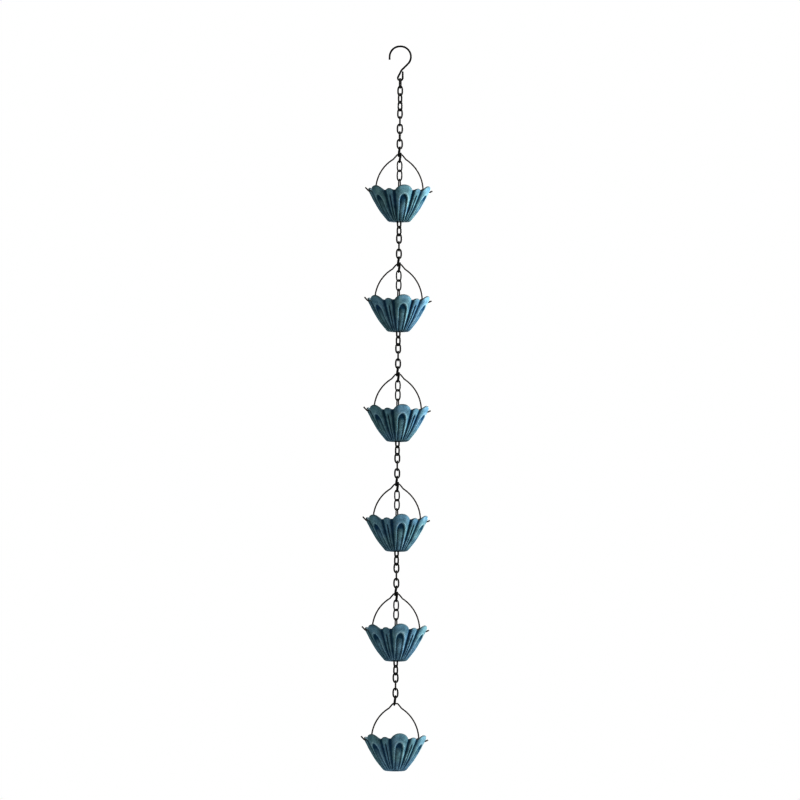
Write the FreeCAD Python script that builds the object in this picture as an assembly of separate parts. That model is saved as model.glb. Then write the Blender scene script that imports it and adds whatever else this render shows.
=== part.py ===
import FreeCAD, Part
import math
import os

# Rain chain: six fluted flower cups, each hung on a wire bail, in line on a chain of oval links.
# All sizes are in millimetres and all angles in degrees.
# The origin is the bearing point inside the top of the hook. +Z is up, and the hook lies in the XZ plane.

Vector = FreeCAD.Vector
X_AXIS = Vector(1, 0, 0)
Y_AXIS = Vector(0, 1, 0)
Z_AXIS = Vector(0, 0, 1)
ORIGIN = Vector(0, 0, 0)

# Clearances
seat_gap = 0.15          # between two pieces where one hangs in the other
side_gap = 0.20          # between the two links that hang side by side on a bail
hole_gap = 0.20          # round the wire in a cup's hole

flatness = 1e-6          # four corners this close to a plane make one face

# Wire sections, drawn as regular polygons measured across their flats
hook_sides = 8
bail_sides = 6
link_sides = 6

# Hook
hook_wire = 2.5
hook_width = 31.0        # between the centres of its two sides
hook_bend = 15.3         # of the bight and of the bend under it
hook_point_drop = 20.0   # from the top of the hook to its open end
hook_point_splay = 0.6   # how far the open end stands out
hook_shoulder_turn = 45.0   # of the stem from plumb, under the bight
hook_waist_out = 1.6     # where the stem bends steeper again
hook_waist_bend = 9.0
eye_drop = 47.0          # from the top of the hook to the middle of its eye
eye_radius = 3.6         # at the middle of the wire

# Chain links
link_wire = 2.2
link_inner_length = 11.44
link_inner_width = 5.2
joining_wire = 1.8
joining_inner_length = 13.9
joining_inner_width = 6.0

# Bail
bail_wire = 1.9
bail_inset = 7.0         # from the middle of the cup's wall in to the bail's plumb sides
bail_height = 56.0       # from the top of the bail to the holes in the cup
bail_waist_out = 9.5     # where the shoulders bend out from the peak
bail_waist_drop = 7.0
bail_peak_bend = 3.0
bail_sharp_bend = 1.0    # of the waist and of the tips
foot_bend = 3.5
foot_rise = 20.0         # slope of the foot as it goes out through the cup
tip_start = 4.0          # foot beyond the middle of the cup's wall, before the tip turns
tip_length_left = 7.0
tip_length_right = 3.5
tip_rise_left = 46.0
tip_rise_right = 24.0

# Cup
cup_count = 6
cup_turn = 9.3           # every cup and bail is turned this far from the hook's plane
petal_count = 6          # large petals, with as many small ones between them
bottom_radius = 16.5
belly_radius = 29.8
belly_height = 16.0
rim_radius = 47.6        # at the height of the small petals
small_petal_height = 46.3
large_petal_rise = 5.1   # above the small petals
notch_drop = 2.0         # rim between two petals, below the small ones
cup_wall = 2.0
cup_floor = 2.0
foot_wall = 3.4          # wall just above the floor
rim_slope_height = 27.0  # the rim faces slope in to a point this far above the petals
hole_drop = 2.7          # holes for the bail, below the top of the small petals
drain_gap = 1.8          # between the drain hole and the links in it
drain_sides = 10

# Flutes round the cup: angle from the middle of a large petal, and share of the radius
crown_angle = 9.0
edge_angle = 17.5
groove_angle = 20.5
ridge_angle = 24.3
valley_angle = 30.0
crown_share = 0.99
edge_share = 0.945
groove_share = 0.895
ridge_share = 0.95
valley_share = 0.93      # low on the cup; the valley fades out towards the rim

# Scallops of the rim
crown_drop = 1.4         # below a large petal's tip, at its crown angle
edge_rise = 0.4          # above the notch, at a large petal's edge
shoulder_drop = 0.8      # below a small petal's tip, at its ridges

# Arched recess in each large petal, with a rib that fades out up its middle
recess_depth = 1.3
recess_top_drop = 13.7   # below the petal's tip
recess_width = 11.3
recess_foot_width = 7.0
recess_arch_rise = 8.5
haunch_width_share = 0.72
haunch_rise_share = 0.56
rib_width = 3.2          # at the foot
rib_height = 0.9
rib_length_share = 0.7   # of the recess

# How far each link is turned from face on, from the top down
upper_turns = [75, -30, 52, -45, 30, 90, 8, 82, 5]
inner_turns = [-4, 99, 23, -54]
joining_turns = [30, -30, 72]
outer_turns = [50, -45, 24, 90, 22]


def turned(vector, degrees):
    """Turns a vector of the XZ plane, from +X towards +Z."""
    angle = math.radians(degrees)
    across = vector.x * math.cos(angle) - vector.z * math.sin(angle)
    up = vector.x * math.sin(angle) + vector.z * math.cos(angle)
    return Vector(across, 0, up)


def signed_turn(before, after):
    """Angle from one direction of the XZ plane to the next."""
    cross = before.x * after.z - before.z * after.x
    return math.degrees(math.atan2(cross, before.dot(after)))


def bent_path(corners):
    """Path through corners (x, z, bend radius, steps). A bend is a few straight runs that touch its arc."""
    spots = [Vector(x, 0, z) for x, z, radius, steps in corners]
    path = [spots[0]]
    for index in range(1, len(corners) - 1):
        radius, steps = corners[index][2:]
        before = (spots[index] - spots[index - 1]).normalize()
        after = (spots[index + 1] - spots[index]).normalize()
        turn = signed_turn(before, after)
        reach = radius * math.tan(math.radians(abs(turn) / 2))
        half_run = radius * math.tan(math.radians(abs(turn) / steps / 2))
        point = spots[index] - before * (reach - half_run)
        path.append(point)
        for step in range(1, steps):
            point = point + turned(before, turn * step / steps) * (2 * half_run)
            path.append(point)
    path.append(spots[-1])
    return path


def wire_outline(point, before, after, wire, sides):
    """Section of a wire in the mitre plane between two runs of its path."""
    side_before = turned(before, 90)
    side_after = turned(after, 90)
    mitre = (side_before + side_after).normalize()
    stretch = 1 / mitre.dot(side_before)
    corner_radius = wire / 2 / math.cos(math.pi / sides)
    corners = []
    for index in range(sides):
        angle = 2 * math.pi * (index + 0.5) / sides
        across = mitre * (corner_radius * math.cos(angle) * stretch)
        corners.append(point + across + Y_AXIS * (corner_radius * math.sin(angle)))
    return corners


def flat_face(corners):
    return Part.Face(Part.makePolygon(corners + corners[:1]))


def wire_rod(path, wire, sides, closed=False):
    """Solid wire along a path in the XZ plane, with mitred corners."""
    count = len(path)
    runs = [(path[(i + 1) % count] - path[i]).normalize() for i in range(count if closed else count - 1)]
    outlines = []
    for index, point in enumerate(path):
        before = runs[index - 1] if closed or index > 0 else runs[0]
        after = runs[index] if index < len(runs) else runs[-1]
        outlines.append(wire_outline(point, before, after, wire, sides))
    faces = []
    for index in range(len(runs)):
        near = outlines[index]
        far = outlines[(index + 1) % count]
        for k in range(sides):
            m = (k + 1) % sides
            faces.append(flat_face([near[k], near[m], far[m], far[k]]))
    if not closed:
        faces.append(flat_face(outlines[0]))
        faces.append(flat_face(outlines[-1]))
    return solid_of(faces)


def solid_of(faces):
    """Closed solid from faces that meet edge to edge."""
    shell = Part.Shell(faces)
    shell.sewShape()
    solid = Part.Solid(shell)
    if solid.Volume < 0:
        solid.reverse()
    return solid


def corner_size(wire, sides):
    """Half the width of a wire across its corners."""
    return wire / 2 / math.cos(math.pi / sides)


# Hook: an open bight on top, a stem that slants back under it and a small closed-up eye
hook_top = hook_wire / 2
eye_middle = hook_top - eye_drop
eye_bottom = eye_middle - eye_radius
eye_seat = eye_bottom + hook_wire / 2


def hook():
    half = hook_width / 2
    shoulder_drop = hook_bend + hook_bend * math.tan(math.radians(hook_shoulder_turn / 2))
    shoulder = Vector(half, 0, hook_top - shoulder_drop)
    waist_drop = shoulder_drop + (half - hook_waist_out) / math.tan(math.radians(hook_shoulder_turn))
    waist = Vector(hook_waist_out, 0, hook_top - waist_drop)
    to_eye = Vector(0, 0, eye_middle) - waist
    swing = math.degrees(math.asin(eye_radius / to_eye.Length))
    stem = turned(to_eye, -swing).normalize()
    stem_reach = (eye_bottom - waist.z) / stem.z
    stem_end = waist + stem * stem_reach
    # The stem leans over the eye, so the free end stops just short of it
    lean = abs(stem.x / stem.z)
    stem_normal = abs(1 / stem.z)
    touch_height = (2 * eye_radius - hook_wire / 2) - (hook_wire / 2 + side_gap) * stem_normal
    touch_start = -eye_radius * abs(stem.z) - eye_radius * abs(stem.x) * lean
    eye_end = eye_middle + (touch_height - eye_radius - touch_start) / lean
    corners = [
        (-half - hook_point_splay, hook_top - hook_point_drop, 0, 0),
        (-half, hook_top, hook_bend, 4),
        (half, hook_top, hook_bend, 4),
        (shoulder.x, shoulder.z, hook_bend, 2),
        (waist.x, waist.z, hook_waist_bend, 1),
        (stem_end.x, stem_end.z, eye_radius, 5),
        (eye_radius, eye_bottom, eye_radius, 3),
        (eye_radius, eye_end, 0, 0),
    ]
    return wire_rod(bent_path(corners), hook_wire, hook_sides)


# Chain links
link_half_width = (link_inner_width + link_wire) / 2


def link(inner_length, inner_width, wire):
    """Oval link in the XZ plane, with its middle at the origin."""
    half_height = (inner_length + wire) / 2
    half_width = (inner_width + wire) / 2
    half_flat = half_width * math.tan(math.radians(22.5))
    side = half_height - half_width + half_flat
    upper = [(half_width, side), (half_flat, half_height), (-half_flat, half_height), (-half_width, side)]
    lower = [(-x, -z) for x, z in upper]
    path = [Vector(x, 0, z) for x, z in upper + lower]
    return wire_rod(path, wire, link_sides, closed=True)


chain_link = link(link_inner_length, link_inner_width, link_wire)
joining_link = link(joining_inner_length, joining_inner_width, joining_wire)

# Two links share each bail's peak, side by side, and lean a little to reach the chain's own line
bail_turn = cup_turn
bail_line = Vector(math.cos(math.radians(bail_turn)), math.sin(math.radians(bail_turn)), 0)
lean_axis = Z_AXIS.cross(bail_line)
pair_step = (bail_wire + 2 * seat_gap) / link_inner_length
pair_offset = (2 * corner_size(link_wire, link_sides) + side_gap) / (2 - pair_step)
lean_angle = math.degrees(math.asin(pair_offset / link_inner_length))
leaning_drop = link_inner_length * math.cos(math.radians(lean_angle))


def hung(shape, turn, top, inner_length):
    """Link turned about its length, its inner end at the given height on the chain's line."""
    placed = shape.copy()
    placed.rotate(ORIGIN, Z_AXIS, turn)
    placed.translate(Vector(0, 0, top - inner_length / 2))
    return placed


def leaning(top_point):
    """Link across a bail that leans by one pair offset, its upper inner end at top_point."""
    placed = chain_link.copy()
    placed.rotate(ORIGIN, Z_AXIS, bail_turn + 90)
    placed.rotate(ORIGIN, lean_axis, lean_angle)
    middle = (bail_line * -pair_offset + Vector(0, 0, -leaning_drop)) * 0.5
    placed.translate(top_point + middle)
    return placed


# Cup, drawn with its foot on the XY plane and a large petal towards -Y
petal_pitch = 360.0 / petal_count
pitch_scale = petal_pitch / 60.0
wall_slope = (rim_radius - belly_radius) / (small_petal_height - belly_height)
drain_radius = link_half_width + link_wire / 2 + drain_gap
large_petal_height = small_petal_height + large_petal_rise
notch_height = small_petal_height - notch_drop
hole_height = small_petal_height - hole_drop


def radius_at(height):
    """Radius of the cup's outside at a height, before the flutes."""
    if height < belly_height:
        return bottom_radius + (belly_radius - bottom_radius) * height / belly_height
    return belly_radius + wall_slope * (height - belly_height)


def polar(radius, degrees, height):
    """Point at an angle from -Y towards +X."""
    angle = math.radians(degrees)
    return Vector(radius * math.sin(angle), -radius * math.cos(angle), height)


def flutes(half_pattern):
    """Mirrors angles and shares about the middle of a petal, and repeats them round the cup."""
    mirrored = [(-angle, share) for angle, share in reversed(half_pattern) if 0 < angle < valley_angle]
    one = mirrored + half_pattern
    ring = []
    for index in range(petal_count):
        for angle, share in one:
            ring.append((angle * pitch_scale + index * petal_pitch, share))
    return ring


small_flat_share = ridge_share * math.cos(math.radians((valley_angle - ridge_angle) * pitch_scale))


def outer_flutes(middle_share):
    return flutes([
        (crown_angle, crown_share), (edge_angle, edge_share), (groove_angle, groove_share),
        (ridge_angle, ridge_share), (valley_angle, middle_share),
    ])


inner_flutes = flutes([
    (0, crown_share), (edge_angle, edge_share), (groove_angle, groove_share), (ridge_angle, ridge_share),
])
rim_points = flutes([
    (0, large_petal_height), (crown_angle, large_petal_height - crown_drop),
    (edge_angle, notch_height + edge_rise), (groove_angle, notch_height),
    (ridge_angle, small_petal_height - shoulder_drop), (valley_angle, small_petal_height),
])


def outline(ring, radius, height):
    return [polar(radius * share, angle, height) for angle, share in ring]


def panels(a, b, c, d):
    """One face through four corners in order, or two where they don't lie in a plane."""
    twist = (b - a).cross(d - a).normalize().dot(c - a)
    if abs(twist) < flatness:
        return [flat_face([a, b, c, d])]
    return [flat_face([a, b, c]), flat_face([a, c, d])]


def lofted(outlines):
    """Solid through flat outlines of the same number of corners, with flat sides."""
    faces = [flat_face(outlines[0]), flat_face(outlines[-1])]
    for low, high in zip(outlines, outlines[1:]):
        for k in range(len(low)):
            m = (k + 1) % len(low)
            faces += panels(low[k], low[m], high[m], high[k])
    return solid_of(faces)


def cup_body():
    top = large_petal_height + cup_wall
    levels = [(0, valley_share), (belly_height, valley_share), (top, small_flat_share)]
    return lofted([outline(outer_flutes(middle), radius_at(height), height) for height, middle in levels])


def cup_cavity():
    top = large_petal_height + 2 * cup_wall
    low = outline(inner_flutes, radius_at(cup_floor) - foot_wall, cup_floor)
    high = outline(inner_flutes, radius_at(top) - cup_wall, top)
    return lofted([low, high])


def rim_cutter():
    """Space above the scalloped rim. Its lower faces all slope up to one point on the cup's axis."""
    peak = Vector(0, 0, large_petal_height + rim_slope_height)
    ceiling = peak.z + cup_wall
    spread = 1.4
    low = []
    for angle, height in rim_points:
        on_wall = polar(radius_at(height), angle, height)
        low.append(peak + (on_wall - peak) * spread)
    high = [Vector(point.x, point.y, ceiling) for point in low]
    faces = [flat_face(high)]
    for k in range(len(low)):
        m = (k + 1) % len(low)
        faces.append(flat_face([peak, low[k], low[m]]))
        faces.append(flat_face([low[k], low[m], high[m], high[k]]))
    return solid_of(faces)


def recess_cutter():
    """Arched recess in the large petal towards -Y, drawn on the petal's middle facet."""
    flat = crown_share * math.cos(math.radians(crown_angle * pitch_scale))
    start = Vector(0, -belly_radius * flat, belly_height)
    end = Vector(0, -rim_radius * flat, small_petal_height)
    up = (end - start).normalize()
    outward = X_AXIS.cross(up).normalize()

    def on_floor(across, along, rise=0.0):
        return start + X_AXIS * across + up * along + outward * (rise - recess_depth)

    top = (large_petal_height - recess_top_drop - belly_height) / up.z
    spring = top - recess_arch_rise
    foot = -belly_height / up.z
    half_width = recess_width / 2
    half_arch = [
        (recess_foot_width / 2, foot), (half_width, spring),
        (half_width * haunch_width_share, spring + recess_arch_rise * haunch_rise_share), (0, top),
    ]
    arch = half_arch + [(-across, along) for across, along in reversed(half_arch[:-1])]
    space = flat_face([on_floor(across, along) for across, along in arch]).extrude(outward * (4 * recess_depth))

    # The rib is a long wedge on the recess's floor
    left = on_floor(-rib_width / 2, foot)
    right = on_floor(rib_width / 2, foot)
    crest = on_floor(0, foot, rib_height)
    tip = on_floor(0, foot + rib_length_share * (top - foot))
    rib = solid_of([flat_face(corners) for corners in (
        [left, right, crest], [left, crest, tip], [crest, right, tip], [left, tip, right])])
    return space.cut(rib)


def around(shape, count, start=0.0):
    """Copies of a shape turned evenly about the cup's axis."""
    copies = []
    for index in range(count):
        copy = shape.copy()
        copy.rotate(ORIGIN, Z_AXIS, start + index * 360.0 / count)
        copies.append(copy)
    return copies


def drain_cutter():
    corners = []
    for index in range(drain_sides):
        angle = (index + 0.5) * 360.0 / drain_sides
        corners.append(polar(drain_radius / math.cos(math.pi / drain_sides), angle, -cup_floor))
    return flat_face(corners).extrude(Vector(0, 0, 3 * cup_floor))


# The bail's feet go out through the middle of two opposite small petals
hole_radius = radius_at(hole_height) * small_flat_share - cup_wall / 2
bail_half_width = hole_radius - bail_inset
foot_direction = Vector(math.cos(math.radians(foot_rise)), 0, math.sin(math.radians(foot_rise)))


def bail_hole_cutters():
    hole_wire = bail_wire + 2 * hole_gap
    middle = Vector(hole_radius, 0, hole_height)
    ends = [middle - foot_direction * (3 * cup_wall), middle + foot_direction * (3 * cup_wall)]
    right = wire_rod(ends, hole_wire, bail_sides)
    return around(right, 2)


def cup():
    shape = cup_body().cut(cup_cavity())
    shape = shape.cut(rim_cutter())
    shape = shape.cut(around(recess_cutter(), petal_count))
    shape = shape.cut([drain_cutter()] + bail_hole_cutters())
    return shape.Solids[0]


def bail():
    """Bail in the XZ plane, with the middle of its peak at the origin."""
    peak_steps = 2
    side_steps = 3
    foot_steps = 2
    seat_half = pair_offset + link_wire / 2 + bail_wire / 2
    foot_line_drop = bail_height + (hole_radius - bail_half_width) * math.tan(math.radians(foot_rise))
    foot_reach = foot_bend * math.tan(math.radians((90 + foot_rise) / 2))
    side_end = foot_line_drop - foot_reach
    # Each side is one large arc from the waist down to the foot, plumb at its lower end
    out = bail_half_width - bail_waist_out
    down = side_end - bail_waist_drop
    side_bend = (out * out + down * down) / (2 * out)
    side_corner = side_end - side_bend * out / down
    tip_bend = Vector(hole_radius, 0, -bail_height) + foot_direction * tip_start
    halves = []
    for tip_length, tip_rise in ((tip_length_left, tip_rise_left), (tip_length_right, tip_rise_right)):
        slope = math.radians(tip_rise)
        halves.append([
            (seat_half, 0, bail_peak_bend, peak_steps),
            (bail_waist_out, -bail_waist_drop, bail_sharp_bend, 1),
            (bail_half_width, -side_corner, side_bend, side_steps),
            (bail_half_width, -foot_line_drop, foot_bend, foot_steps),
            (tip_bend.x, tip_bend.z, bail_sharp_bend, 1),
            (tip_bend.x + tip_length * math.cos(slope), tip_bend.z + tip_length * math.sin(slope), 0, 0),
        ])
    left = [(-x, z, radius, steps) for x, z, radius, steps in reversed(halves[0])]
    return wire_rod(bent_path(left + halves[1]), bail_wire, bail_sides)


def assemble():
    """Hangs every piece in turn from the hook down, and gives the solids of each node."""
    nodes = {"hook": [hook()]}
    cup_shape = cup()
    cup_shape.rotate(ORIGIN, Z_AXIS, cup_turn)
    bail_shape = bail()
    bail_shape.rotate(ORIGIN, Z_AXIS, bail_turn)

    def hang_links(name, shape, turns, inner_length, seat):
        solids = nodes.setdefault(name, [])
        for turn in turns:
            top = seat + seat_gap
            solids.append(hung(shape, turn, top, inner_length))
            seat = top - inner_length
        return seat

    seat = hang_links("upper_chain", chain_link, upper_turns, link_inner_length, eye_seat)
    above = "upper_chain"
    for number in range(1, cup_count + 1):
        top = seat + seat_gap
        nodes[above].append(leaning(Vector(0, 0, top)))
        peak = top - leaning_drop + seat_gap + bail_wire / 2
        nodes[f"bail_{number}"] = [bail_shape.translated(Vector(0, 0, peak))]
        foot = peak - bail_height - hole_height
        nodes[f"cup_{number}"] = [cup_shape.translated(Vector(0, 0, foot))]
        if number == cup_count:
            break
        top = peak + bail_wire / 2 + seat_gap
        nodes[f"hanger_link_{number}"] = [leaning(bail_line * pair_offset + Vector(0, 0, top))]
        seat = top - leaning_drop
        seat = hang_links(
            f"joining_links_{number}", joining_link, joining_turns, joining_inner_length, seat)
        seat = hang_links(f"inner_chain_{number}", chain_link, inner_turns, link_inner_length, seat)
        above = f"outer_chain_{number}"
        seat = hang_links(above, chain_link, outer_turns, link_inner_length, seat)
    return nodes


os.makedirs("parts", exist_ok=True)
for name, solids in assemble().items():
    shape = solids[0] if len(solids) == 1 else Part.makeCompound(solids)
    shape.exportStep(f"parts/{name}.step")
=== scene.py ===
import math

import bmesh
import bpy
import numpy as np
from mathutils import Matrix, Vector


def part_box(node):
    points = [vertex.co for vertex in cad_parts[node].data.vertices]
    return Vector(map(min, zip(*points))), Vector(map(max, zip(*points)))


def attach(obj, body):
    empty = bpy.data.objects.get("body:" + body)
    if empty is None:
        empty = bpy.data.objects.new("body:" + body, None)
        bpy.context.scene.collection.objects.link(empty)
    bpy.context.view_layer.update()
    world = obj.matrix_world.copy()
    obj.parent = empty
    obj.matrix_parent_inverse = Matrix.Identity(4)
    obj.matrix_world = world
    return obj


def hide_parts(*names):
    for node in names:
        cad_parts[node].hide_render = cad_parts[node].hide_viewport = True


# Rain chain: six fluted flower cups on wire bails, in line on a chain of oval links.
# Lengths are in millimetres until a mesh is made, and angles are in degrees.

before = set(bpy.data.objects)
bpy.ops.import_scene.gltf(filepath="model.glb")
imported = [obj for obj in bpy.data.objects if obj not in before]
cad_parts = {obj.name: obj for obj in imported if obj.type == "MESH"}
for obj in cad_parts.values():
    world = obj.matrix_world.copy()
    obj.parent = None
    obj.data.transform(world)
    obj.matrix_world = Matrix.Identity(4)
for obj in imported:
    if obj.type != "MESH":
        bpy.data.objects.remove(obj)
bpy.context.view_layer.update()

MM = 0.001
cup_count = 6
petal_count = 6
petal_pitch = 360.0 / petal_count
half_pitch = petal_pitch / 2
cup_turn = 9.3           # every cup and bail is turned this far from the hook's plane

# Cup: radius of its outside at heights above its foot, before the flutes
bottom_radius = 16.6
belly_radius = 30.0
belly_height = 16.0
belly_bend = 5.0
rim_radius = 47.8
petal_tip_start = 44.8   # above it the petals' tips stand steeper
petal_tip_slope = 0.2
petal_tip_bend = 2.5
foot_arc = 5.0           # bend from the foot into the wall

# Cup: rim, and its inside
small_petal_height = 46.3
large_petal_height = 51.4
notch_height = 44.3
large_petal_power = 2.2  # 2 would be a parabola, and more a flatter top
rim_rounding = 0.95
cup_wall = 2.4           # from the belly up
foot_wall = 3.4          # at the floor
cup_floor = 2.0
inner_corner = 1.2       # bend from the wall into the floor
drain_radius = 6.53
drain_chamfer = 0.3

# Flutes: angle from the middle of a large petal, and share of the radius
flute_angles = [0.0, 9.0, 12.5, 15.2, 17.2, 18.8, 21.3, 22.9, 25.3, 30.0]
flute_shares = [0.982, 0.987, 0.976, 0.959, 0.932, 0.890, 0.890, 0.938, 0.957, 0.959]
flute_rounding = 0.55
inner_softness = 3       # times the rounding, on the inside
large_half = 17.6        # half the width of a large petal at the rim
small_start = 22.6       # where a small petal starts at the rim

# Groove down the middle of each small petal
slit_half = 1.6
slit_floor_share = 0.35  # of its width that is flat
slit_share = 0.055
slit_top_drop = 9.5      # below the small petal's tip
slit_fade = 3.0

# Arched recess in each large petal
recess_half_width = 5.65
recess_foot_half_width = 3.5
recess_top = 37.4
recess_spring = 28.0
recess_depth = 1.75
recess_foot_share = 0.72  # of the depth, from the foot up to where the recess gets deeper
recess_deeper_from = 18.0
recess_edge = 0.55
frame_height = 0.45      # raised border round the recess
frame_offset = 1.5
frame_width = 0.95
pillow_height = 1.2      # the recess's floor swells up between two dark channels
pillow_inset = 0.9
pillow_top = 36.6
pillow_fade_share = 0.74
pillow_power = 2.5

# Where the patina counts as level with the surface, at angles from the middle of a large petal
relief_angles = [12.0, 17.2, 22.6]
relief_shares = [0.972, 0.948, 0.947]
level_relief = 0.72
inside_relief = 0.6
highest_relief = 1.25
relief_scale = 2.6       # millimetres to a unit of relief at the foot
relief_scale_rise = 0.034
# Painted shade: darker under each recess's arch, high in the recess and down each slit, where shade falls
recess_edge_steps = (-0.3, 0.9)  # over the recess's edge
arch_shade = 0.6         # painted shade under the recess's arched upper end
arch_shade_drops = (8.5, 2.5)    # below the recess's top, where it starts and where it is full
recess_shade = 0.14
recess_shade_drops = (20.0, 6.0)
slit_shade = 0.25
slit_shade_floor_share = 0.5
# Painted highlight along the recess's raised border
frame_highlight = 0.10
inside_steps = (0.6, 1.4)        # into the wall
inside_greyness = 0.5
rim_grey_drops = (1.5, 0.7)      # below the rim
floor_step = 0.2                 # above the floor

# Cup's mesh
table_points = 4801
least_gradient = 0.05
columns_per_half_petal = 40
column_spots = [0, 0.25, 0.45, 1]
column_density = [1.0, 1.2, 1.9, 1.9]
wall_rows = 66
inner_rows = 26
underside_shares = (0.0, 0.35, 0.7)
foot_arc_shares = (0.0, 0.25, 0.5, 0.75)
rim_turns = (25, 50, 75, 90, 105, 130, 155)
inner_corner_turns = (30, 60, 90)
floor_shares = (0.4, 0.8, 1.0)

# Wires
shortest_run = 0.02      # between an arc and the bend before it
same_spot = 1e-4
end_rounding = 0.25

# Bail
bail_wire = 1.9
bail_sides = 14
bail_bend_step = 3
bail_inset = 7.0
bail_height = 56.0
bail_waist_out = 9.5
bail_waist_drop = 7.0
bail_waist_bend = 2.5
bail_peak_bend = 3.0
foot_bend = 3.5
foot_rise = 20.0
end_start = 4.0          # beyond the cup's wall
end_bend = 2.0
end_lengths = (7.0, 3.5)
end_rises = (46.0, 24.0)
hole_radius = 42.5       # from the cup's axis to where the foot crosses its wall
hole_drop = 2.7          # below the small petals' tips
hole_gap = 0.2
hole_sides = 20
hole_cut_length = 14.0
seat_gap = 0.15
side_gap = 0.20

# Hook
hook_wire = 2.5
hook_sides = 18
hook_bend_step = 5
hook_width = 31.0
hook_bend = 15.3
hook_point_drop = 20.0
hook_point_splay = 0.6
hook_shoulder_turn = 45.0
hook_waist_out = 1.6
hook_waist_bend = 9.0
eye_drop = 47.0
eye_radius = 3.6

# Chain links
link_wire = 2.2
link_inner_length = 11.44
link_seam = 0.12
link_roundness = 2.45    # 2 would be an ellipse, and more is nearer to a box
link_steps = 44
link_sides = 14
link_end_rounding = 0.12
link_cad_sides = 6
weld_distance = 1e-6     # in metres, between points of a link of the frame that are one

# Finishes: base colours from the grooves to the ridges
blue_stops = [
    (0.0, (0.0, 0.056, 0.132)), (0.28, (0.010, 0.076, 0.142)), (0.50, (0.075, 0.145, 0.200)),
    (0.68, (0.130, 0.245, 0.325)), (0.80, (0.190, 0.305, 0.385)), (1.0, (0.300, 0.400, 0.465)),
]
green_stops = [
    (0.0, (0.0, 0.056, 0.105)), (0.28, (0.012, 0.078, 0.116)), (0.50, (0.078, 0.150, 0.180)),
    (0.68, (0.135, 0.250, 0.285)), (0.80, (0.190, 0.310, 0.345)), (1.0, (0.300, 0.398, 0.430)),
]
rim_grey = (0.070, 0.098, 0.108, 1.0)
blotch_size = 9.0
blotch_strength = 0.15
grain_size = 1.6
grain_strength = 0.10
region_size = 38.0
wire_finishes = {
    "hook_wire": ((0.006, 0.0058, 0.0056), 0.42),
    "chain_wire": ((0.008, 0.0076, 0.0073), 0.42),
    "joining_wire": ((0.010, 0.0095, 0.009), 0.45),
    "bail_wire": ((0.026, 0.023, 0.021), 0.45),
}
wear_size = 3.0
wear_lightness = 1.8
wire_grain_size = 0.7

# Studio, in metres
floor_height = -2.2
floor_reach = 1.6
floor_sides = 96
floor_colour = (0.85, 0.85, 0.85, 1)
world_colour = (0.93, 0.96, 1.0, 1)
world_strength = 0.395
lit_point = (0, 0, -0.54)
lights = [
    # name, place, size, power, colour
    ("key", (2.25, -0.55, 0.3), (1.0, 1.8), 198, (1.0, 0.99, 0.97)),
    ("fill", (-2.2, -1.8, -0.3), (1.2, 1.8), 17, (0.85, 1.0, 0.74)),
    ("back", (0.3, 2.4, 0.1), (1.4, 1.6), 65, (1.0, 1.0, 1.0)),
]

# Camera. The gamma keeps wires of a pixel or two as dark over white as in the photo.
display_gamma = 0.65
view_width = 1.1847
view_point = (0.0033, 0, -0.5244)
view_distance = 3.0
view_elevation = -5.0
view_roll = 0.45
view_end = 30


# Shapes


def smooth(low, high, value):
    """0 below low, 1 above high and a soft step between them."""
    t = np.clip((value - low) / (high - low), 0.0, 1.0)
    return t * t * (3 - 2 * t)


def folded(angle):
    """Angle from the middle of the nearest large petal."""
    return np.abs((angle + half_pitch) % petal_pitch - half_pitch)


def rounded_table(angles, values, rounding):
    """A line through points, with its corners rounded off, as two dense lists."""
    dense = np.linspace(-petal_pitch, petal_pitch, table_points)
    plain = np.interp(folded(dense), angles, values)
    step = dense[1] - dense[0]
    reach = int(3 * rounding / step)
    kernel = np.exp(-0.5 * (np.arange(-reach, reach + 1) * step / rounding) ** 2)
    rounded = np.convolve(plain, kernel / kernel.sum(), mode="same")
    keep = (dense >= 0) & (dense <= half_pitch)
    return dense[keep], rounded[keep]


outer_table = rounded_table(flute_angles, flute_shares, flute_rounding)
inner_table = rounded_table(flute_angles, flute_shares, inner_softness * flute_rounding)


def soft_over(height, start, bend):
    """How far a height is over a start, with a soft bend there, and 0 at the foot."""
    over = height - start
    foot_value = math.sqrt(start * start + bend * bend) - start
    return 0.5 * (over + np.sqrt(over * over + bend * bend) - foot_value)


def plain_radius(height):
    """Radius of the cup's outside, before the flutes."""
    wall_slope = (rim_radius - belly_radius) / (small_petal_height - belly_height)
    foot_slope = (belly_radius - bottom_radius) / belly_height
    radius = bottom_radius + foot_slope * height
    radius = radius + (wall_slope - foot_slope) * soft_over(height, belly_height, belly_bend)
    return radius + (petal_tip_slope - wall_slope) * soft_over(height, petal_tip_start, petal_tip_bend)


def recess_side(height):
    """Half the width of a large petal's recess below its arch."""
    return np.interp(height, [0.0, recess_spring], [recess_foot_half_width, recess_half_width])


def recess_distance(across, height):
    """Distance from the edge of a large petal's arched recess, less than 0 in the recess."""
    lower = recess_side(height)
    side_distance = np.abs(across) - lower
    rise = (height - recess_spring) / (recess_top - recess_spring)
    reach = np.abs(across) / recess_half_width
    size = np.sqrt(reach ** 2 + rise ** 2)
    gradient = np.sqrt((reach / recess_half_width) ** 2 + (rise / (recess_top - recess_spring)) ** 2)
    arch_distance = (size ** 2 - 1) / (2 * np.maximum(gradient, least_gradient))
    return np.where(height > recess_spring, arch_distance, side_distance)


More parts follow.
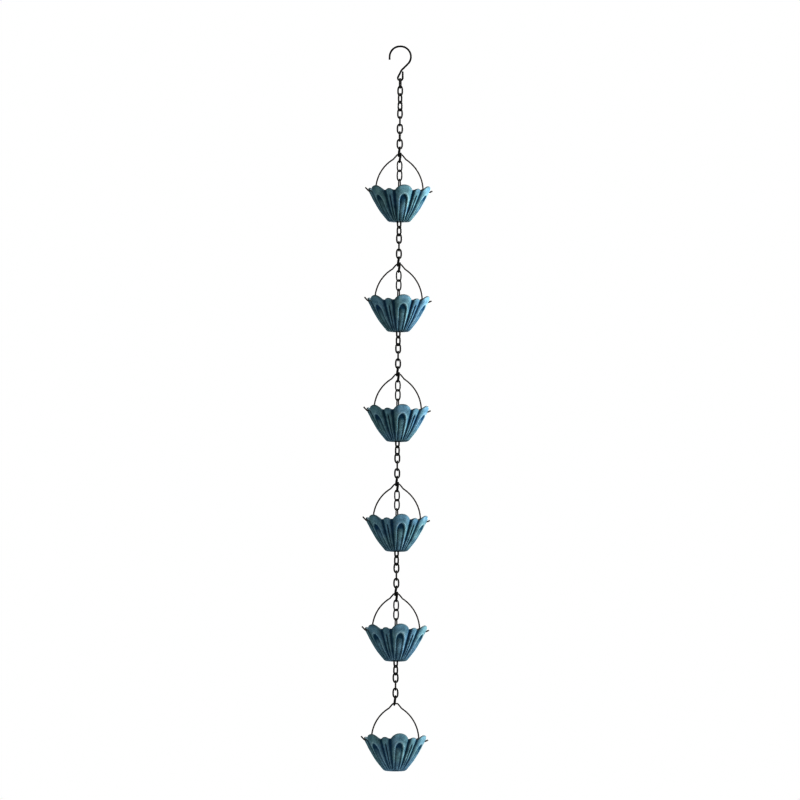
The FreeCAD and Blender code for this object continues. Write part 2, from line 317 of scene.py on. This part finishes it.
def recess_relief(across, height):
    """How far the large petal's recess, its border and its swelling floor stand out from it."""
    distance = recess_distance(across, height)
    inside = smooth(-recess_edge, recess_edge, -distance)
    deeper = smooth(recess_deeper_from, recess_top, height)
    depth = recess_depth * (recess_foot_share + (1 - recess_foot_share) * deeper)
    border = frame_height * np.exp(-((distance - frame_offset) / frame_width) ** 2)
    share = np.clip(np.abs(across) / (recess_side(height) - pillow_inset), 0, 1)
    fade = smooth(pillow_fade_share * pillow_top, pillow_top, height)
    pillow = pillow_height * (1 - share ** pillow_power) * (1 - fade)
    return border - inside * (depth - pillow)


def outer_radius(angle, height):
    """Radius of the cup's outside at an angle from the middle of a large petal."""
    fold = folded(angle)
    share = np.interp(fold, *outer_table)
    slit_on = 1 - smooth(-slit_fade, 0.0, height - (small_petal_height - slit_top_drop))
    slit = slit_share * (1 - smooth(slit_floor_share * slit_half, slit_half, half_pitch - fold))
    radius = plain_radius(height)
    across = radius * np.sin(np.radians(fold))
    near = fold < large_half
    relief = np.where(near, recess_relief(across, height), 0.0)
    return radius * (share - slit * slit_on) + relief


def inner_radius(angle, height):
    """Radius of the cup's inside, with softer flutes."""
    wall = np.interp(height, [cup_floor, belly_height], [foot_wall, cup_wall])
    return (plain_radius(height) - wall) * np.interp(folded(angle), *inner_table)


def rim_height(angle):
    fold = folded(angle)
    large_share = (fold / large_half) ** large_petal_power
    large = large_petal_height - (large_petal_height - notch_height) * large_share
    small_share = ((half_pitch - fold) / (half_pitch - small_start)) ** 2
    small = small_petal_height - (small_petal_height - notch_height) * small_share
    return np.maximum(np.maximum(large, small), notch_height)


def cup_columns():
    """Angles of the mesh's columns, closer together over the grooves."""
    steps = np.linspace(0, 1, columns_per_half_petal + 1)
    places = np.cumsum(np.concatenate([[0], 1 / np.interp(steps[:-1], column_spots, column_density)]))
    half = places / places[-1] * half_pitch
    one = np.concatenate([half, petal_pitch - half[::-1][1:-1]])
    return np.concatenate([one + index * petal_pitch for index in range(petal_count)])


def cup_grid():
    """Closed grid of the cup: underside, outside, rim, inside, floor and drain wall."""
    angle = cup_columns()
    top = rim_height(angle)
    rows = []

    def add(radius, height):
        rows.append((radius * np.ones_like(angle), height * np.ones_like(angle)))

    foot_edge = outer_radius(angle, 0 * angle)
    slope = math.pi / 2 - math.atan((belly_radius - bottom_radius) / belly_height)
    reach = foot_arc * math.tan(slope / 2)
    for share in underside_shares:
        add(drain_radius + (foot_edge - reach - drain_radius) * share, 0.0)
    for share in foot_arc_shares:
        turn = slope * share
        add(foot_edge - reach + foot_arc * math.sin(turn), foot_arc * (1 - math.cos(turn)))
    arc_top = foot_arc * (1 - math.cos(slope))
    wall_top = top - rim_rounding
    for row in range(wall_rows + 1):
        height = arc_top + (wall_top - arc_top) * row / wall_rows
        add(outer_radius(angle, height), height)
    outer_edge = outer_radius(angle, wall_top)
    inner_edge = inner_radius(angle, wall_top)
    for degrees in rim_turns:
        turn = math.radians(degrees)
        middle = (outer_edge + inner_edge) / 2
        half = (outer_edge - inner_edge) / 2
        add(middle + half * math.cos(turn), wall_top + rim_rounding * math.sin(turn))
    low = cup_floor + inner_corner
    for row in range(inner_rows + 1):
        height = wall_top + (low - wall_top) * row / inner_rows
        add(inner_radius(angle, height), height)
    corner = inner_radius(angle, low + 0 * angle)
    for degrees in inner_corner_turns:
        turn = math.radians(degrees)
        add(corner - inner_corner * (1 - math.cos(turn)), low - inner_corner * math.sin(turn))
    floor_edge = corner - inner_corner
    for share in floor_shares:
        add(floor_edge + (drain_radius + drain_chamfer - floor_edge) * share, cup_floor)
    add(drain_radius, cup_floor - drain_chamfer)
    return angle, rows


def grid_mesh(name, points):
    """Mesh of a grid that closes on itself both ways. points is rows by columns by 3."""
    row_count, column_count = points.shape[:2]
    index = np.arange(row_count * column_count).reshape(row_count, column_count)
    right = np.roll(index, -1, axis=1)
    faces = np.stack([index, right, np.roll(right, -1, axis=0), np.roll(index, -1, axis=0)], axis=-1)
    mesh = bpy.data.meshes.new(name)
    mesh.from_pydata(points.reshape(-1, 3), [], faces.reshape(-1, 4).tolist())
    return mesh


def rotation(degrees):
    return Matrix.Rotation(math.radians(degrees), 4, "Z")


def cup_points():
    """Rows by columns by 3 of the cup's points in metres, its foot at the origin."""
    angle, rows = cup_grid()
    turn = np.radians(angle)
    points = [np.stack([radius * np.sin(turn), -radius * np.cos(turn), height], axis=-1)
              for radius, height in rows]
    return np.array(points) * MM


# Wires


def turned(vector, angle):
    """Turns a flat vector (across, up) by an angle in radians."""
    across, up = vector
    return np.array([across * math.cos(angle) - up * math.sin(angle),
                     across * math.sin(angle) + up * math.cos(angle)])


def bent_path(corners, step):
    """Points along a wire through corners (across, up, bend radius), with true arcs."""
    spots = [np.array(corner[:2], float) for corner in corners]
    path = [spots[0]]
    for index in range(1, len(corners) - 1):
        radius = corners[index][2]
        before = spots[index] - spots[index - 1]
        after = spots[index + 1] - spots[index]
        before = before / np.linalg.norm(before)
        after = after / np.linalg.norm(after)
        turn = math.atan2(before[0] * after[1] - before[1] * after[0], before @ after)
        reach = radius * math.tan(abs(turn) / 2)
        start = spots[index] - before * reach
        side = turned(before, math.copysign(math.pi / 2, turn))
        centre = start + side * radius
        count = max(2, math.ceil(abs(math.degrees(turn)) / step))
        for k in range(count + 1):
            point = centre + turned(-side * radius, turn * k / count)
            # Where the bend before it ends late, an arc starts from there
            if (point - path[-1]) @ turned(before, turn * k / count) > shortest_run:
                path.append(point)
    path.append(spots[-1])
    return path


def wire_mesh(name, path, wire, sides, rounding=end_rounding):
    """Round wire along a flat path in the XZ plane, with softened ends."""
    spots = np.array(path)
    runs = np.diff(spots, axis=0)
    keep = np.concatenate([[True], np.linalg.norm(runs, axis=1) > same_spot])
    spots = spots[keep]
    runs = np.diff(spots, axis=0)
    runs = runs / np.linalg.norm(runs, axis=1)[:, None]
    before = np.vstack([runs[:1], runs])
    after = np.vstack([runs, runs[-1:]])
    along = before + after
    along = along / np.linalg.norm(along, axis=1)[:, None]
    first, last = spots[0], spots[-1]
    spots = np.vstack([first, first + runs[0] * rounding, spots[1:-1], last - runs[-1] * rounding, last])
    along = np.vstack([along[0], along[0], along[1:-1], along[-1], along[-1]])
    radii = np.full(len(spots), wire / 2)
    radii[[0, -1]] -= rounding
    vertices = []
    for spot, direction, radius in zip(spots, along, radii):
        normal = (-direction[1], direction[0])
        for k in range(sides):
            turn = 2 * math.pi * k / sides
            across = radius * math.cos(turn)
            vertices.append(((spot[0] + normal[0] * across) * MM, radius * math.sin(turn) * MM,
                             (spot[1] + normal[1] * across) * MM))
    faces = []
    count = len(spots)
    for ring in range(count - 1):
        for k in range(sides):
            beside = (k + 1) % sides
            low, high = ring * sides, (ring + 1) * sides
            faces.append((low + k, low + beside, high + beside, high + k))
    faces.append(tuple(range(sides))[::-1])
    faces.append(tuple((count - 1) * sides + k for k in range(sides)))
    mesh = bpy.data.meshes.new(name)
    mesh.from_pydata(vertices, [], faces)
    return mesh


def oval_link_mesh(length, width, wire):
    """Oval link in the XZ plane, its two cut ends meeting in a fine seam on one side."""
    half_width = (width - wire) / 2
    half_length = (length - wire) / 2
    seam_turn = math.asin((link_seam / 2 / half_length) ** (link_roundness / 2))
    path = []
    for k in range(link_steps + 1):
        turn = seam_turn + (2 * math.pi - 2 * seam_turn) * k / link_steps
        across = math.copysign(abs(math.cos(turn)) ** (2 / link_roundness), math.cos(turn))
        along = math.copysign(abs(math.sin(turn)) ** (2 / link_roundness), math.sin(turn))
        path.append((half_width * across, half_length * along))
    return wire_mesh("link", path, wire, link_sides, link_end_rounding)


def hook_path():
    """Hook in the XZ plane, from its open end to the end of its eye, bearing at the origin."""
    half = hook_width / 2
    top = hook_wire / 2
    eye_middle = top - eye_drop
    eye_bottom = eye_middle - eye_radius
    shoulder_drop = hook_bend + hook_bend * math.tan(math.radians(hook_shoulder_turn / 2))
    shoulder = np.array([half, top - shoulder_drop])
    waist_drop = shoulder_drop + (half - hook_waist_out) / math.tan(math.radians(hook_shoulder_turn))
    waist = np.array([hook_waist_out, top - waist_drop])
    to_eye = np.array([0.0, eye_middle]) - waist
    swing = math.asin(eye_radius / np.linalg.norm(to_eye))
    stem = turned(to_eye, -swing) / np.linalg.norm(to_eye)
    stem_end = waist + stem * (eye_bottom - waist[1]) / stem[1]
    lean = abs(stem[0] / stem[1])
    touch_height = (2 * eye_radius - hook_wire / 2) - (hook_wire / 2 + side_gap) * abs(1 / stem[1])
    touch_start = -eye_radius * abs(stem[1]) - eye_radius * abs(stem[0]) * lean
    eye_end = eye_middle + (touch_height - eye_radius - touch_start) / lean
    corners = [
        (-half - hook_point_splay, top - hook_point_drop, 0),
        (-half, top, hook_bend),
        (half, top, hook_bend),
        (shoulder[0], shoulder[1], hook_bend),
        (waist[0], waist[1], hook_waist_bend),
        (stem_end[0], stem_end[1], eye_radius),
        (eye_radius, eye_bottom, eye_radius),
        (eye_radius, eye_end, 0),
    ]
    return bent_path(corners, hook_bend_step)


def bail_path():
    """Bail in the XZ plane, with the middle of its peak at the origin."""
    corner = link_wire / 2 / math.cos(math.pi / link_cad_sides)
    pair_step = (bail_wire + 2 * seat_gap) / link_inner_length
    pair_offset = (2 * corner + side_gap) / (2 - pair_step)
    seat_half = pair_offset + link_wire / 2 + bail_wire / 2
    half_width = hole_radius - bail_inset
    foot_line_drop = bail_height + bail_inset * math.tan(math.radians(foot_rise))
    foot_reach = foot_bend * math.tan(math.radians((90 + foot_rise) / 2))
    side_end = foot_line_drop - foot_reach
    out = half_width - bail_waist_out
    down = side_end - bail_waist_drop
    side_bend = (out * out + down * down) / (2 * out)
    side_corner = side_end - side_bend * out / down
    rise = math.radians(foot_rise)
    end_out = hole_radius + end_start * math.cos(rise)
    end_up = -bail_height + end_start * math.sin(rise)
    halves = []
    for length, end_rise in zip(end_lengths, end_rises):
        slope = math.radians(end_rise)
        halves.append([
            (seat_half, 0, bail_peak_bend),
            (bail_waist_out, -bail_waist_drop, bail_waist_bend),
            (half_width, -side_corner, side_bend),
            (half_width, -foot_line_drop, foot_bend),
            (end_out, end_up, end_bend),
            (end_out + length * math.cos(slope), end_up + length * math.sin(slope), 0),
        ])
    left = [(-x, z, radius) for x, z, radius in reversed(halves[0])]
    return bent_path(left + halves[1], bail_bend_step)


# Materials


class Shader:
    """Small helper that adds nodes and links to a material."""

    def __init__(self, name, roughness, specular):
        self.material = bpy.data.materials.new(name)
        self.material.use_nodes = True
        self.tree = self.material.node_tree
        self.surface = self.tree.nodes["Principled BSDF"]
        self.surface.inputs["Roughness"].default_value = roughness
        self.surface.inputs["Specular IOR Level"].default_value = specular
        self.place = self.add("ShaderNodeTexCoord").outputs["Object"]

    def add(self, kind, **values):
        node = self.tree.nodes.new(kind)
        for name, value in values.items():
            setattr(node, name, value)
        return node

    def link(self, start, end):
        self.tree.links.new(start, end)

    def noise(self, size, detail):
        """Noise whose blobs are about this many millimetres across."""
        node = self.add("ShaderNodeTexNoise")
        node.inputs["Scale"].default_value = 1.0 / (size * MM)
        node.inputs["Detail"].default_value = detail
        self.link(self.place, node.inputs["Vector"])
        return node.outputs["Fac"]

    def attribute(self, name):
        return self.add("ShaderNodeAttribute", attribute_name=name).outputs["Fac"]

    def ramp(self, value, stops):
        node = self.add("ShaderNodeValToRGB")
        ramp = node.color_ramp
        while len(ramp.elements) < len(stops):
            ramp.elements.new(0.5)
        for element, (place, colour) in zip(ramp.elements, stops):
            element.position = place
            element.color = (*colour, 1.0)
        self.link(value, node.inputs["Fac"])
        return node.outputs["Color"]

    def mix(self, share, first, second):
        """Colour from first to second. The mix node's inputs 0, 6 and 7 are its share and colours."""
        node = self.add("ShaderNodeMix", data_type="RGBA")
        for value, socket in ((share, node.inputs[0]), (first, node.inputs[6]), (second, node.inputs[7])):
            if isinstance(value, tuple):
                socket.default_value = value
            else:
                self.link(value, socket)
        return node.outputs[2]

    def scaled(self, value, low, high, start=0.0, end=1.0):
        """Maps low to start and high to end, and holds those beyond."""
        node = self.add("ShaderNodeMapRange")
        for socket, number in zip(("From Min", "From Max", "To Min", "To Max"), (low, high, start, end)):
            node.inputs[socket].default_value = number
        self.link(value, node.inputs["Value"])
        return node.outputs["Result"]

    def added(self, first, second):
        node = self.add("ShaderNodeMath", operation="ADD")
        self.link(first, node.inputs[0])
        self.link(second, node.inputs[1])
        return node.outputs[0]

    def bump(self, height, distance, strength):
        node = self.add("ShaderNodeBump")
        node.inputs["Distance"].default_value = distance * MM
        node.inputs["Strength"].default_value = strength
        self.link(height, node.inputs["Height"])
        self.link(node.outputs["Normal"], self.surface.inputs["Normal"])

    def colour(self, socket):
        self.link(socket, self.surface.inputs["Base Color"])

    def rough(self, socket):
        self.link(socket, self.surface.inputs["Roughness"])


def patina():
    """Blue-green patina: dark blue in the grooves, light on the ridges, mottled all over, with painted
    shade and a painted highlight from the relief attribute.
    """
    shader = Shader("cup_patina", 0.62, specular=0.3)
    relief = shader.attribute("relief")
    fine = shader.noise(grain_size, detail=6.0)
    blotch = shader.noise(blotch_size, detail=5.0)
    spots = shader.scaled(blotch, 0.3, 0.7, -blotch_strength, blotch_strength)
    grain = shader.scaled(fine, 0.3, 0.7, -grain_strength, grain_strength)
    level = shader.scaled(shader.added(relief, shader.added(spots, grain)), 0.0, highest_relief)
    region = shader.scaled(shader.noise(region_size, detail=2.0), 0.42, 0.6)
    skin = shader.mix(region, shader.ramp(level, blue_stops), shader.ramp(level, green_stops))
    shader.colour(shader.mix(shader.attribute("rim"), skin, rim_grey))
    shader.rough(shader.scaled(level, 0.2, 1.0, 0.75, 0.5))
    shader.bump(fine, 0.25, 0.6)
    return shader.material


def black_wire(name, colour, roughness):
    """Satin black finish with slight wear."""
    shader = Shader(name, roughness, specular=0.2)
    worn = shader.noise(wear_size, detail=4.0)
    worn_colour = tuple(wear_lightness * part for part in colour)
    shader.colour(shader.mix(shader.scaled(worn, 0.45, 0.75), (*colour, 1.0), (*worn_colour, 1.0)))
    shader.rough(shader.scaled(worn, 0.3, 0.7, roughness - 0.08, roughness + 0.1))
    shader.bump(shader.noise(wire_grain_size, detail=3.0), 0.05, 0.4)
    return shader.material


materials = {"cup_patina": patina()}
for slot, (colour, roughness) in wire_finishes.items():
    materials[slot] = black_wire(slot, colour, roughness)


# Pieces


def add_piece(name, mesh, slot, *nodes):
    """Puts a finished mesh in the scene in place of its CAD nodes."""
    mesh.materials.clear()
    mesh.materials.append(materials[slot])
    mesh.polygons.foreach_set("use_smooth", [True] * len(mesh.polygons))
    mesh.update()
    piece = bpy.data.objects.new(name, mesh)
    bpy.context.scene.collection.objects.link(piece)
    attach(piece, "root")
    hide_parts(*nodes)
    return piece


def hole_cutter(side):
    """Round bar along one foot of the bail, in the cup's own frame."""
    radius = (bail_wire / 2 + hole_gap) * MM
    bm = bmesh.new()
    bmesh.ops.create_cone(bm, cap_ends=True, segments=hole_sides, radius1=radius, radius2=radius,
                          depth=hole_cut_length * MM)
    tilt = Matrix.Rotation(math.radians(90 - foot_rise), 4, "Y")
    place = Matrix.Translation(Vector((hole_radius, 0, small_petal_height - hole_drop)) * MM)
    turn = rotation(0 if side > 0 else 180)
    bm.transform(turn @ place @ tilt)
    mesh = bpy.data.meshes.new("cutter")
    bm.to_mesh(mesh)
    bm.free()
    cutter = bpy.data.objects.new("cutter", mesh)
    bpy.context.scene.collection.objects.link(cutter)
    return cutter


def cup_shape():
    """One cup at the origin, with its two holes cut."""
    body = bpy.data.objects.new("cup_shape", grid_mesh("cup_shape", cup_points()))
    bpy.context.scene.collection.objects.link(body)
    cutters = [hole_cutter(1), hole_cutter(-1)]
    for cutter in cutters:
        cut = body.modifiers.new("hole", "BOOLEAN")
        cut.operation = "DIFFERENCE"
        cut.solver = "EXACT"
        cut.object = cutter
    graph = bpy.context.evaluated_depsgraph_get()
    mesh = bpy.data.meshes.new_from_object(body.evaluated_get(graph))
    for used in cutters + [body]:
        bpy.data.objects.remove(used)
    return mesh


def relief_and_painted_shade(angle, skin, height):
    """How far the outside stands out of the cup's smooth form, 0 in grooves and over 1 on ridges, with
    painted shade and a painted highlight added.
    """
    fold = folded(angle)
    level = plain_radius(height) * np.interp(fold, relief_angles, relief_shares)
    relief = level_relief + (skin - level) / (relief_scale + relief_scale_rise * height)
    across = skin * np.sin(np.radians(fold))
    distance = np.where(fold < large_half, recess_distance(across, height), np.inf)
    in_recess = smooth(*recess_edge_steps, -distance)
    in_arch = in_recess * smooth(*(recess_top - drop for drop in arch_shade_drops), height)
    high_in_recess = in_recess * smooth(*(recess_top - drop for drop in recess_shade_drops), height)
    on_frame = np.exp(-((distance - frame_offset) / frame_width) ** 2)
    in_slit = 1 - smooth(slit_shade_floor_share * slit_half, slit_half, half_pitch - fold)
    in_slit = in_slit * (height < small_petal_height - slit_top_drop)
    # Painted highlight on the recess's border; painted shade high in the recess, under its arch and down
    # the slits
    relief = relief + frame_highlight * on_frame
    relief = relief - recess_shade * high_in_recess - arch_shade * in_arch - slit_shade * in_slit
    return np.clip(relief, 0, highest_relief)


def mark_relief(mesh):
    """Stores each point's relief, with its painted shade and highlight, and how much of the rim's grey it
    has.
    """
    spots = np.zeros(len(mesh.vertices) * 3)
    mesh.vertices.foreach_get("co", spots)
    spots = spots.reshape(-1, 3) / MM
    height = spots[:, 2]
    radius = np.hypot(spots[:, 0], spots[:, 1])
    angle = np.degrees(np.arctan2(spots[:, 0], -spots[:, 1]))
    outside = outer_radius(angle, height)
    inside = np.where(height > cup_floor + floor_step, smooth(*inside_steps, outside - radius), 0.0)
    skin = np.where(height > cup_floor, radius, outside)
    relief = relief_and_painted_shade(angle, skin, height) * (1 - inside) + inside_relief * inside
    on_rim = smooth(*(-drop for drop in rim_grey_drops), height - rim_height(angle))
    for name, values in (("relief", relief), ("rim", np.maximum(on_rim, inside_greyness * inside))):
        layer = mesh.attributes.new(name, "FLOAT", "POINT")
        layer.data.foreach_set("value", values.astype(np.float32))


def build_cups():
    shape = cup_shape()
    mark_relief(shape)
    for number in range(1, cup_count + 1):
        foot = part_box(f"cup_{number}")[0].z
        mesh = shape.copy()
        mesh.transform(Matrix.Translation((0, 0, foot)) @ rotation(cup_turn))
        add_piece(f"flower_cup_{number}", mesh, "cup_patina", f"cup_{number}")


def build_bails():
    shape = wire_mesh("bail", bail_path(), bail_wire, bail_sides)
    for number in range(1, cup_count + 1):
        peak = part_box(f"bail_{number}")[1].z - bail_wire / 2 * MM
        mesh = shape.copy()
        mesh.transform(Matrix.Translation((0, 0, peak)) @ rotation(cup_turn))
        add_piece(f"wire_bail_{number}", mesh, "bail_wire", f"bail_{number}")


def build_hook():
    add_piece("wire_hook", wire_mesh("hook", hook_path(), hook_wire, hook_sides), "hook_wire", "hook")


def separate_parts(mesh):
    """The points of each loose part of a mesh."""
    bm = bmesh.new()
    bm.from_mesh(mesh)
    bmesh.ops.remove_doubles(bm, verts=bm.verts, dist=weld_distance)
    seen = set()
    parts = []
    for first in bm.verts:
        if first in seen:
            continue
        seen.add(first)
        part, waiting = [], [first]
        while waiting:
            vertex = waiting.pop()
            part.append(list(vertex.co))
            for edge in vertex.link_edges:
                other = edge.other_vert(vertex)
                if other not in seen:
                    seen.add(other)
                    waiting.append(other)
        parts.append(np.array(part))
    bm.free()
    return parts


def round_link(points):
    """Round-wire link where a link of the frame lies, with the same length, width and wire."""
    middle = points.mean(0)
    principal = np.linalg.eigh(np.cov((points - middle).T))[1]
    normal, along = principal[:, 0], principal[:, 2]
    if along[2] < 0:
        along = -along
    axes = np.column_stack([np.cross(normal, along), normal, along])
    local = (points - middle) @ axes
    middle = middle + axes @ ((local.max(0) + local.min(0)) / 2)
    size = (local.max(0) - local.min(0)) / MM
    wire = size[1] * math.cos(math.pi / link_cad_sides)
    mesh = oval_link_mesh(size[2], size[0], wire)
    mesh.transform(Matrix.Translation(Vector(middle)) @ Matrix(axes.tolist()).to_4x4())
    return mesh


def build_chain(name, node, slot):
    """Round links in place of all the links of one node."""
    bm = bmesh.new()
    for points in separate_parts(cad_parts[node].data):
        bm.from_mesh(round_link(points))
    mesh = bpy.data.meshes.new(name)
    bm.to_mesh(mesh)
    bm.free()
    add_piece(name, mesh, slot, node)


def build_chains():
    build_chain("links_above_cup_1", "upper_chain", "chain_wire")
    for number in range(1, cup_count):
        build_chain(f"link_on_bail_{number}", f"hanger_link_{number}", "chain_wire")
        build_chain(f"thin_links_{number}", f"joining_links_{number}", "joining_wire")
        build_chain(f"links_in_cup_{number}", f"inner_chain_{number}", "chain_wire")
        build_chain(f"links_under_cup_{number}", f"outer_chain_{number}", "chain_wire")


# Stage


def build_floor():
    mesh = bpy.data.meshes.new("floor")
    turns = [2 * math.pi * k / floor_sides for k in range(floor_sides)]
    edge = [(floor_reach * math.cos(turn), floor_reach * math.sin(turn), floor_height) for turn in turns]
    mesh.from_pydata(edge, [], [tuple(range(floor_sides))])
    floor = bpy.data.objects.new("floor", mesh)
    bpy.context.scene.collection.objects.link(floor)
    material = bpy.data.materials.new("floor")
    material.use_nodes = True
    surface = material.node_tree.nodes["Principled BSDF"]
    surface.inputs["Base Color"].default_value = floor_colour
    surface.inputs["Roughness"].default_value = 0.8
    mesh.materials.append(material)


def build_world():
    """White to the camera, and a softer white as light."""
    world = bpy.data.worlds.new("studio")
    world.use_nodes = True
    bpy.context.scene.world = world
    tree = world.node_tree
    output = tree.nodes["World Output"]
    lighting = tree.nodes["Background"]
    lighting.inputs["Color"].default_value = world_colour
    lighting.inputs["Strength"].default_value = world_strength
    seen = tree.nodes.new("ShaderNodeBackground")
    seen.inputs["Color"].default_value = (1, 1, 1, 1)
    seen.inputs["Strength"].default_value = 1.0
    path = tree.nodes.new("ShaderNodeLightPath")
    mix = tree.nodes.new("ShaderNodeMixShader")
    tree.links.new(path.outputs["Is Camera Ray"], mix.inputs["Fac"])
    tree.links.new(lighting.outputs["Background"], mix.inputs[1])
    tree.links.new(seen.outputs["Background"], mix.inputs[2])
    tree.links.new(mix.outputs["Shader"], output.inputs["Surface"])


def add_light(name, place, size, power, colour):
    """Soft rectangular light that faces the middle of the chain."""
    data = bpy.data.lights.new(name, "AREA")
    data.shape = "RECTANGLE"
    data.size, data.size_y = size
    data.energy = power
    data.color = colour
    light = bpy.data.objects.new(name, data)
    bpy.context.scene.collection.objects.link(light)
    light.location = place
    light.rotation_mode = "QUATERNION"
    light.rotation_quaternion = (Vector(lit_point) - Vector(place)).to_track_quat("-Z", "Y")


def build_camera():
    """Camera at the photo's angle, a little from below."""
    scene = bpy.context.scene
    scene.view_settings.view_transform = "Standard"
    scene.view_settings.gamma = display_gamma
    data = bpy.data.cameras.new("camera")
    data.type = "ORTHO"
    data.ortho_scale = view_width
    data.clip_end = view_end
    camera = bpy.data.objects.new("camera", data)
    scene.collection.objects.link(camera)
    elevation = math.radians(view_elevation)
    back = Vector((0, -math.cos(elevation), math.sin(elevation)))
    camera.location = Vector(view_point) + back * view_distance
    camera.rotation_mode = "QUATERNION"
    look = (-back).to_track_quat("-Z", "Y").to_matrix()
    camera.rotation_quaternion = (look @ Matrix.Rotation(math.radians(view_roll), 3, "Z")).to_quaternion()
    scene.camera = camera


build_cups()
build_bails()
build_hook()
build_chains()
build_floor()
build_world()
for light in lights:
    add_light(*light)
build_camera()
